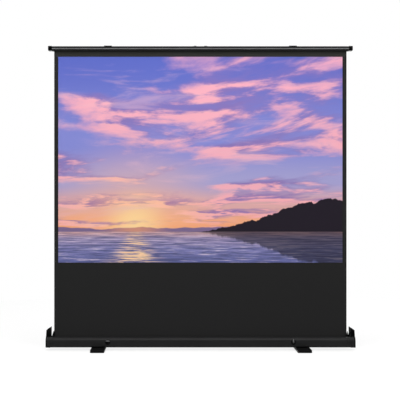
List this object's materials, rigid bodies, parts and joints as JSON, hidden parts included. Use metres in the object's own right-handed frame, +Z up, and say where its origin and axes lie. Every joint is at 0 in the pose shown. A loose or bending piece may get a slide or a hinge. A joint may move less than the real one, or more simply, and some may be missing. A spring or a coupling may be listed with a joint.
{
  "type": "floor-standing pull-up projector screen",
  "caption": "Pull-up projector screen on a floor housing: sprung roller, flat sheet with black masking, scissor lift behind it, top bar that latches down as the lid, swivel feet.",
  "frame": {"origin": "on the floor under the middle of the housing, midway along the feet", "axes": "+X along the housing to a viewer's right, -Y towards the viewers, +Z up"},
  "size_m": [2.204, 0.36, 2.1754],
  "materials": {
    "black_aluminium": "satin black anodised",
    "cap_plastic": "black moulded plastic",
    "foot_steel": "black powder coat",
    "rubber": "matte",
    "nylon": "grey nylon",
    "arm_aluminium": "satin anodised",
    "zinc_steel": "zinc plated",
    "spring_steel": "oiled",
    "screen_cloth": "coated cloth with a dark masking border"
  },
  "bodies": {
    "base": {"housing": "black_aluminium", "end_cap_left": "cap_plastic", "end_cap_right": "cap_plastic", "foot_washer_left": "nylon", "foot_washer_right": "nylon", "foot_bolt_left": "zinc_steel", "foot_bolt_right": "zinc_steel", "roller_bracket_left": "zinc_steel", "roller_bracket_right": "zinc_steel", "roller_spindle": "zinc_steel", "roller_spring": "spring_steel", "screen_sheet": "screen_cloth", "base_bracket": "zinc_steel", "base_pivot_pin": "zinc_steel", "lift_spring": "spring_steel", "base_track": "arm_aluminium", "button_base_left": "cap_plastic", "button_base_right": "cap_plastic"},
    "left_foot": {"foot_left": "foot_steel", "foot_sole_left": "rubber"},
    "right_foot": {"foot_right": "foot_steel", "foot_sole_right": "rubber"},
    "roller": {"roller_tube": "arm_aluminium", "sheet_roll": "screen_cloth", "roller_plug_left": "nylon", "roller_plug_right": "nylon"},
    "lower_front": {"lower_front_arm": "arm_aluminium", "lower_centre_pin": "zinc_steel", "lower_centre_washer": "nylon", "right_elbow_pin": "zinc_steel", "right_elbow_washer": "nylon"},
    "lower_rear": {"lower_rear_arm": "arm_aluminium", "left_elbow_pin": "zinc_steel", "left_elbow_washer": "nylon"},
    "upper_rear": {"upper_rear_arm": "arm_aluminium", "upper_centre_pin": "zinc_steel", "upper_centre_washer": "nylon"},
    "upper_front": {"upper_front_arm": "arm_aluminium"},
    "lid": {"top_bar": "black_aluminium", "top_bar_cap_left": "cap_plastic", "top_bar_cap_right": "cap_plastic", "sheet_clamp_strip": "arm_aluminium", "top_bracket": "zinc_steel", "top_pivot_pin": "zinc_steel", "top_track": "arm_aluminium", "hasp_hinge_left": "black_aluminium", "hasp_hinge_right": "black_aluminium", "handle_clip_left": "cap_plastic", "handle_clip_right": "cap_plastic"},
    "base_slide": {"base_slider": "nylon", "base_slider_pin": "zinc_steel"},
    "top_slide": {"top_slider": "nylon", "top_slider_pin": "zinc_steel"},
    "left_hasp": {"hasp_left": "black_aluminium"},
    "right_hasp": {"hasp_right": "black_aluminium"},
    "left_button": {"turn_button_left": "cap_plastic"},
    "right_button": {"turn_button_right": "cap_plastic"},
    "handle": {"handle_bail": "zinc_steel", "handle_grip": "rubber"}
  },
  "joints": [
    {"name": "lift", "type": "hinge", "parent": "base", "child": "lower_front", "pos_m": [-0.33444, 0.025, 0.0397], "axis": [0, 1, 0], "range_deg": [0, 56.08], "deforming": ["screen_sheet"]},
    {"name": "lower_crossing", "type": "hinge", "parent": "lower_front", "child": "lower_rear", "pos_m": [-0.00001, 0.025, 0.5677], "axis": [0, 1, 0], "range_deg": [-112.16, 0]},
    {"name": "right_elbow", "type": "hinge", "parent": "lower_front", "child": "upper_rear", "pos_m": [0.33443, 0.025, 1.0957], "axis": [0, 1, 0], "range_deg": [-112.16, 0]},
    {"name": "left_elbow", "type": "hinge", "parent": "lower_rear", "child": "upper_front", "pos_m": [-0.33444, 0.025, 1.0957], "axis": [0, 1, 0], "range_deg": [0, 112.16]},
    {"name": "lid_pivot", "type": "hinge", "parent": "upper_rear", "child": "lid", "pos_m": [-0.33444, 0.025, 2.1517], "axis": [0, 1, 0], "range_deg": [0, 56.08]},
    {"name": "base_slide_pivot", "type": "hinge", "parent": "lower_rear", "child": "base_slide", "pos_m": [0.33443, 0.025, 0.0397], "axis": [0, 1, 0], "range_deg": [0, 56.08]},
    {"name": "top_slide_pivot", "type": "hinge", "parent": "upper_front", "child": "top_slide", "pos_m": [0.33443, 0.025, 2.1517], "axis": [0, 1, 0], "range_deg": [-56.08, 0]},
    {"name": "roller_spin", "type": "hinge", "parent": "base", "child": "roller", "pos_m": [0, -0.018, 0.0517], "axis": [1, 0, 0], "range_deg": [-5220, 0]},
    {"name": "left_foot_swivel", "type": "hinge", "parent": "base", "child": "left_foot", "pos_m": [-0.728, 0, 0.0217], "axis": [0, 0, 1], "range_deg": [0, 90]},
    {"name": "right_foot_swivel", "type": "hinge", "parent": "base", "child": "right_foot", "pos_m": [0.728, 0, 0.0217], "axis": [0, 0, -1], "range_deg": [0, 90]},
    {"name": "left_hasp_hinge", "type": "hinge", "parent": "lid", "child": "left_hasp", "pos_m": [-0.66, -0.019, 2.1699], "axis": [1, 0, 0], "range_deg": [0, 240.5]},
    {"name": "right_hasp_hinge", "type": "hinge", "parent": "lid", "child": "right_hasp", "pos_m": [0.66, -0.019, 2.1699], "axis": [1, 0, 0], "range_deg": [0, 240.5]},
    {"name": "left_button_turn", "type": "hinge", "parent": "base", "child": "left_button", "pos_m": [-0.66, -0.05082, 0.06427], "axis": [0, -0.8703, 0.4925], "range_deg": [0, 90]},
    {"name": "right_button_turn", "type": "hinge", "parent": "base", "child": "right_button", "pos_m": [0.66, -0.05082, 0.06427], "axis": [0, -0.8703, 0.4925], "range_deg": [-90, 0]},
    {"name": "handle_hinge", "type": "hinge", "parent": "lid", "child": "handle", "pos_m": [0, 0.015, 2.1721], "axis": [1, 0, 0], "range_deg": [0, 90]}
  ],
  "couplings": [
    {"joint": "lower_crossing", "follows": "lift", "ratio": -2},
    {"joint": "right_elbow", "follows": "lift", "ratio": -2},
    {"joint": "left_elbow", "follows": "lift", "ratio": 2},
    {"joint": "lid_pivot", "follows": "lift", "ratio": 1},
    {"joint": "base_slide_pivot", "follows": "lift", "ratio": 1},
    {"joint": "top_slide_pivot", "follows": "lift", "ratio": -1},
    {"joint": "roller_spin", "follows": "lift", "ratio": -93.08}
  ]
}
